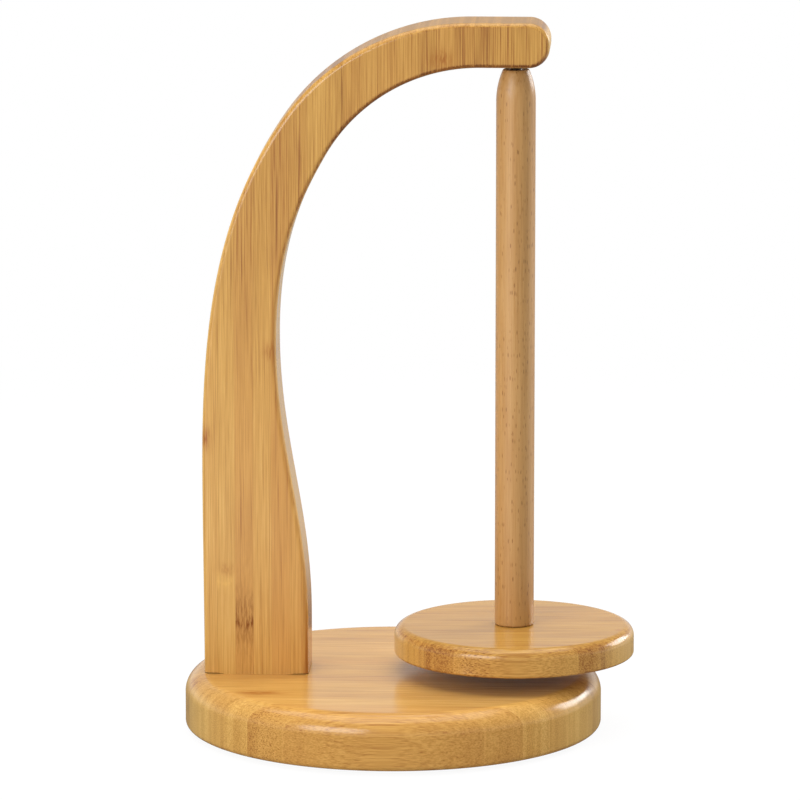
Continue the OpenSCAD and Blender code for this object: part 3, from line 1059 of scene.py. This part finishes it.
# %% Bamboo for the two discs
base_bamboo = bamboo(Board(
    "bamboo_base", axes=(X, Y, Z), strip=9.7, first=-70.5, seed=13574, contrast=1.05,
    darker=(0.09, 0.09), orange=0.25,
    smears_and_shade=(Mark(-54.5, -42.9, 8.0, 4.2, 1.0),),
    dotted=Mark(-51.0, -66.0, 10.0, 6.0),
))
platter_bamboo = bamboo(Board(
    "bamboo_platter", axes=(X, Y, Z), strip=8.7, first=-39.5, seed=39191, contrast=0.45,
    darker=(0.29, 0.2), orange=0.1, yellow_top=0.15,
    smears_and_shade=(Mark(80.0, -11.0, 1.6, 1.2, 0.6),),
    dotted=Mark(spindle_x - 17.0, -43.0, 9.0, 5.0),
    about=(spindle_x * MM, 0, 0),
))

# %% [markdown]
# ## Beech
#
# Beech is pinker and quieter than bamboo, without strips. What tells it apart are short dark
# flecks a few millimetres long, the ends of its rays. They are seeds of a cell pattern that is
# stretched along the rod, and only some of the seeds show, most of them on the right flank. That
# flank is also painted darker and more olive, as shade.

# %% Streaks and flecks of the beech
BEECH_DRIFT_MM = (60.0, 4.0, 4.0)
BEECH_STREAK_MM = (22.0, 0.6, 0.6)
FLECK_MM = (3.0, 0.75, 0.75)
FLANK_IN, FLANK_OUT = (-1.5, 4.0), (7.0, 4.4)  # millimetres to the right of the axis

beech, tree, shader = new_finish("oiled_beech")
ways = board_ways(tree, (Z, X, Y))
drift = cloudy(tree, stretched(tree, ways, BEECH_DRIFT_MM), 3.0)
streak = remap(tree, cloudy(tree, stretched(tree, ways, BEECH_STREAK_MM), 4.0, 0.6), 0.3, 0.7)
fleck_and_shade_flank = times(
    tree,
    remap(tree, ways[1], *(spindle_x + place for place in FLANK_IN)),
    remap(tree, ways[1], *(spindle_x + place for place in FLANK_OUT)),
)
cut_end = by_face(tree, face_ways(tree), Z, 0.6, 0.95)
reach, chance = cells(tree, stretched(tree, ways, FLECK_MM))
picked = add_node(tree, "ShaderNodeSeparateColor", {0: chance}).outputs[0]
shown = remap(tree, picked, added(tree, 0.62, fleck_and_shade_flank, -0.5), 1.0)
fleck = times(tree, remap(tree, reach, 0.42, 0.16), shown)
print("flecks are about", FLECK_MM[0], "mm long")

# %% Colour and shine of the beech
TAN = [
    (0.0, screen(108, 68, 36)), (0.35, screen(155, 108, 58)),
    (0.65, screen(186, 138, 81)), (1.0, screen(208, 164, 106)),
]
FLANK_PAINTED_SHADE = screen(172, 138, 84)
BEECH_TONE = 0.76

tone = added(tree, BEECH_TONE, centred(tree, drift), 0.45)
tone = added(tree, tone, centred(tree, streak), 0.18)
# Painted shade: the right flank is darker, and below it is tinted olive.
tone = added(tree, tone, fleck_and_shade_flank, -0.16)
tone = added(tree, tone, fleck, -0.45)
# End faces darker: end grain drinks more oil, and painted shade for the gap between nose and arm.
tone = added(tree, tone, cut_end, -0.35)
colour = mixed(tree, times(tree, fleck_and_shade_flank, 0.3), ramp(tree, tone, TAN), FLANK_PAINTED_SHADE)
tree.links.new(colour, shader.inputs["Base Color"])
dull = added(tree, added(tree, 0.27, streak, 0.10), cut_end, 0.4)
tree.links.new(dull, shader.inputs["Roughness"])
grain = added(tree, streak, fleck, -0.6)
bump = add_node(tree, "ShaderNodeBump", {"Height": grain, "Strength": 0.35, "Distance": 0.00006})
tree.links.new(bump.outputs[0], shader.inputs["Normal"])
shader.inputs["IOR"].default_value = VARNISH_IOR
print("beech nodes", len(tree.nodes))

# %% [markdown]
# ## Metal and rubber
#
# Bolts, washers and the screw are zinc plated steel, the ball is steel painted dark as shade for
# the narrow gap it sits in, the magnets are nickel plated, the inserts in the foot are turned
# brass and the pads are rubber.
# They are small, so one recipe does for the metals: a bare metal with fine lathe marks or
# scratches, a little blotchy in its shine. A plain grey would look like plastic up close.

# %% The metal finishes
BLOTCH_MM = (2.5, 2.5, 2.5)


def bare_metal(name, pale, dark, dull, mark_mm):
    """A metal between two colours, with its roughness and the size of its marks."""
    finish, tree, shader = new_finish(name)
    ways = board_ways(tree, (X, Y, Z))
    blotch = cloudy(tree, stretched(tree, ways, BLOTCH_MM), 4.0)
    marks = cloudy(tree, stretched(tree, ways, mark_mm), 3.0)
    colour = ramp(tree, blotch, [(0.3, screen(*dark)), (0.7, screen(*pale))])
    tree.links.new(colour, shader.inputs["Base Color"])
    tree.links.new(added(tree, dull, blotch, 0.2), shader.inputs["Roughness"])
    bump = add_node(tree, "ShaderNodeBump", {"Height": marks, "Strength": 0.3, "Distance": 0.00004})
    tree.links.new(bump.outputs[0], shader.inputs["Normal"])
    shader.inputs["Metallic"].default_value = 1.0
    print(name, "has marks of", mark_mm[2], "mm")
    return finish


steel = bare_metal(
    "zinc_steel", pale=(188, 188, 190), dark=(150, 150, 154), dull=0.22, mark_mm=(1.2, 1.2, 0.12))
# Painted shade: the ball is darkened for the narrow gap between the magnets.
painted_shade_steel = bare_metal(
    "painted_shade_steel", pale=(92, 84, 80), dark=(66, 59, 56), dull=0.25, mark_mm=(0.4, 0.4, 0.4))
nickel = bare_metal(
    "nickel_plate", pale=(206, 201, 190), dark=(178, 173, 162), dull=0.10, mark_mm=(0.25, 0.25, 0.25))
brass = bare_metal(
    "turned_brass", pale=(214, 176, 96), dark=(178, 138, 66), dull=0.22, mark_mm=(1.0, 1.0, 0.1))

# %% The rubber finish
GRIT_MM = (0.35, 0.35, 0.35)
DUST_MM = (5.0, 5.0, 5.0)

rubber, tree, shader = new_finish("pad_rubber")
ways = board_ways(tree, (X, Y, Z))
grit = cloudy(tree, stretched(tree, ways, GRIT_MM), 4.0)
dust = cloudy(tree, stretched(tree, ways, DUST_MM), 3.0)
black = ramp(tree, dust, [(0.3, screen(34, 33, 32)), (0.75, screen(62, 60, 57))])
tree.links.new(black, shader.inputs["Base Color"])
tree.links.new(added(tree, 0.6, grit, 0.25), shader.inputs["Roughness"])
bump = add_node(tree, "ShaderNodeBump", {"Height": grit, "Strength": 0.5, "Distance": 0.0001})
tree.links.new(bump.outputs[0], shader.inputs["Normal"])
print("rubber grit is", GRIT_MM[0], "mm")

# %% [markdown]
# ## Putting it together
#
# Each new piece takes the place of its CAD node and rides on the same body. The small fixings
# keep their CAD shape and only get a finish.

# %% Dress the four wooden pieces
wooden = [
    (base_disc, "base", "stand", base_bamboo, "bamboo"),
    (hook_arm, "arm", "stand", arm_bamboo, "bamboo"),
    (beech_rod, "spindle_rod", "spindle", beech, "beech"),
    (yarn_platter, "platter", "spindle", platter_bamboo, "bamboo"),
]
for piece, node, body, finish, slot in wooden:
    piece.data.materials.clear()
    piece.data.materials.append(finish)
    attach(piece, body)
    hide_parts(node)
    print(piece.name, "rides on", body)

# %% Give the small fixings their metal and rubber
fixings = {
    "bolt": steel, "washer": steel, "screw": steel, "ball": painted_shade_steel,
    "magnet": nickel, "insert": brass, "pad": rubber,
}
for name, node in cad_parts.items():
    for word, finish in fixings.items():
        if word in name.split("_"):
            node.material_slots[0].material = finish
            print(name, "is", finish.name)
